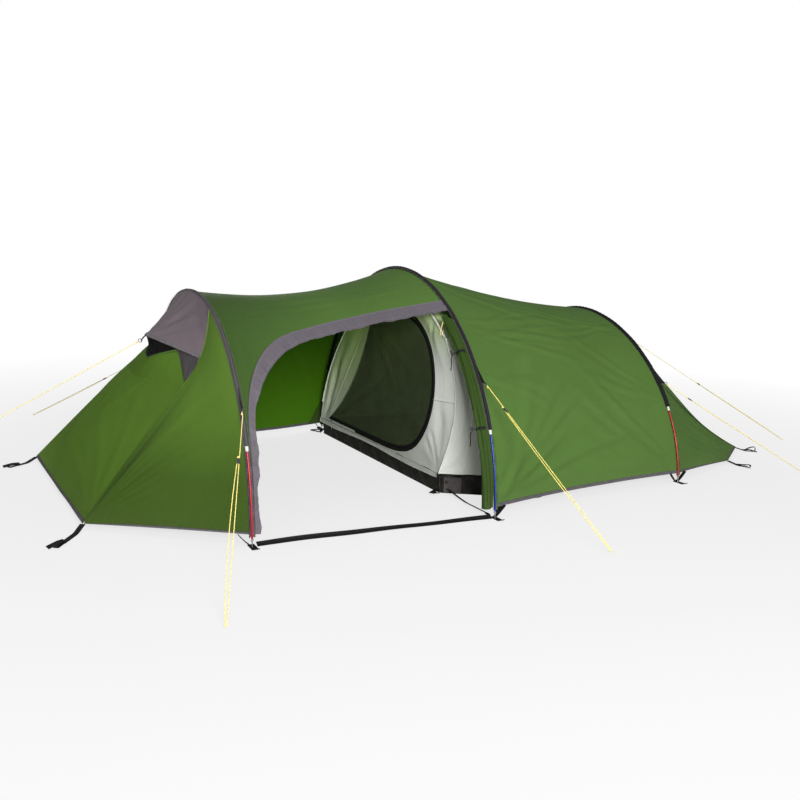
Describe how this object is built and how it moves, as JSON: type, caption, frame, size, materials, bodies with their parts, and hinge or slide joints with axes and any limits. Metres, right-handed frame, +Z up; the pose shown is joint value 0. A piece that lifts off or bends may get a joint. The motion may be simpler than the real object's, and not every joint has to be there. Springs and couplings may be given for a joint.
{
  "type": "tunnel tent",
  "caption": "Hooped tunnel tent pitched for use: a side porch with its door rolled back, a vented nose, a hanging inner tent with a netting door, and guy lines with runners.",
  "frame": {"origin": "on the ground, straight under the top of the centre hoop, on the underside of the inner floor", "axes": "+X from the front hoop towards the foot end, -Y towards the porch door side, +Z up"},
  "size_m": [5.8192, 3.9946, 1.194],
  "materials": {
    "pole_red": "red anodised tube",
    "pole_blue": "blue anodised tube",
    "alloy": "plain turned alloy",
    "shock_cord": "braided elastic cord",
    "sleeve_grey": "woven polyester, dark grey",
    "sleeve_black": "woven polyester, black",
    "cuff_white": "moulded cuff, pale",
    "fly_green": "coated polyester, mid green",
    "trim_grey": "coated polyester, warm grey",
    "net_black": "fine netting, near black",
    "webbing_black": "flat webbing, black",
    "brass": "rolled eyelet",
    "steel": "bent wire ring",
    "line_yellow": "braided cord, yellow",
    "plastic_black": "moulded, black",
    "tub_black": "coated groundsheet cloth, near black",
    "inner_white": "breathable nylon, off-white"
  },
  "bodies": {
    "tent": {"corner_straps": "webbing_black", "fly_body_far": "fly_green", "fly_body_near": "fly_green", "fly_body_roof": "fly_green", "fly_doorway_trim": "trim_grey", "fly_nose_far": "fly_green", "fly_nose_front": "fly_green", "fly_nose_near": "fly_green", "fly_porch_far": "fly_green", "fly_porch_near": "fly_green", "fly_porch_roof": "fly_green", "fly_tail_end": "fly_green", "fly_tail_far": "fly_green", "fly_tail_near": "fly_green", "foot_eyelets": "brass", "foot_straps": "webbing_black", "guy_lines": "line_yellow", "guy_rings": "steel", "guy_tabs": "webbing_black", "hem_tapes": "trim_grey", "inner_corner_wall": "inner_white", "inner_far_wall": "inner_white", "inner_foot_canopy": "inner_white", "inner_foot_wall": "inner_white", "inner_front_wall": "inner_white", "inner_hangers": "webbing_black", "inner_near_wall": "inner_white", "inner_roof": "inner_white", "inner_tub": "tub_black", "pole_centre": "pole_blue", "pole_cords": "shock_cord", "pole_ferrules": "alloy", "pole_front": "pole_red", "pole_rear": "pole_red", "pole_tips": "alloy", "porch_door_roll": "fly_green", "porch_door_ties": "webbing_black", "porch_ground_strap": "webbing_black", "sleeve_centre": "sleeve_grey", "sleeve_cuffs": "cuff_white", "sleeve_front": "sleeve_grey", "sleeve_rear": "sleeve_black", "tub_corner_patch": "trim_grey", "tub_ties": "webbing_black", "vent_gussets": "trim_grey", "vent_hood": "trim_grey", "vent_net": "net_black"},
    "inner_door": {"inner_door_net": "net_black", "inner_door_binding": "webbing_black"},
    "zip_slider": {"inner_zip_slider": "plastic_black"},
    "toggle_low": {"door_toggle_low": "plastic_black"},
    "toggle_high": {"door_toggle_high": "plastic_black"},
    "runner_front_near": {"runner_front_near": "plastic_black"},
    "runner_front_far": {"runner_front_far": "plastic_black"},
    "runner_centre_near": {"runner_centre_near": "plastic_black"},
    "runner_centre_far": {"runner_centre_far": "plastic_black"},
    "runner_rear_near": {"runner_rear_near": "plastic_black"},
    "runner_rear_far": {"runner_rear_far": "plastic_black"},
    "runner_rear_ridge": {"runner_rear_ridge": "plastic_black"},
    "runner_hood": {"runner_hood": "plastic_black"}
  },
  "joints": [
    {"name": "inner_door_swing", "type": "hinge", "parent": "tent", "child": "inner_door", "pos_m": [-0.045, 0.86, 0.132], "axis": [0, 0.6258, -0.78], "range_deg": [0, 55]},
    {"name": "inner_zip_run", "type": "slide", "parent": "tent", "child": "zip_slider", "axis": [0, -1, 0], "range_m": [0, 0.72]},
    {"name": "door_toggle_low_turn", "type": "hinge", "parent": "tent", "child": "toggle_low", "pos_m": [-0.095, -0.98775, 0.43001], "axis": [1, 0, 0], "range_deg": [-80, 80]},
    {"name": "door_toggle_high_turn", "type": "hinge", "parent": "tent", "child": "toggle_high", "pos_m": [-0.095, -0.77918, 0.78003], "axis": [1, 0, 0], "range_deg": [-80, 80]},
    {"name": "runner_front_near_slide", "type": "slide", "parent": "tent", "child": "runner_front_near", "axis": [-0.3015, -0.7841, -0.5425], "range_m": [0, 0.3]},
    {"name": "runner_front_far_slide", "type": "slide", "parent": "tent", "child": "runner_front_far", "axis": [-0.3697, 0.8523, -0.3701], "range_m": [0, 0.3]},
    {"name": "runner_centre_near_slide", "type": "slide", "parent": "tent", "child": "runner_centre_near", "axis": [0.1831, -0.7561, -0.6284], "range_m": [0, 0.3]},
    {"name": "runner_centre_far_slide", "type": "slide", "parent": "tent", "child": "runner_centre_far", "axis": [0.1831, 0.7561, -0.6284], "range_m": [0, 0.3]},
    {"name": "runner_rear_near_slide", "type": "slide", "parent": "tent", "child": "runner_rear_near", "axis": [0.7834, -0.3612, -0.5058], "range_m": [0, 0.3]},
    {"name": "runner_rear_far_slide", "type": "slide", "parent": "tent", "child": "runner_rear_far", "axis": [0.7834, 0.3612, -0.5058], "range_m": [0, 0.3]},
    {"name": "runner_rear_ridge_slide", "type": "slide", "parent": "tent", "child": "runner_rear_ridge", "axis": [0.8399, -0.2275, -0.4929], "range_m": [0, 0.3]},
    {"name": "runner_hood_slide", "type": "slide", "parent": "tent", "child": "runner_hood", "axis": [-0.8481, 0.1896, -0.4948], "range_m": [0, 0.3]}
  ]
}
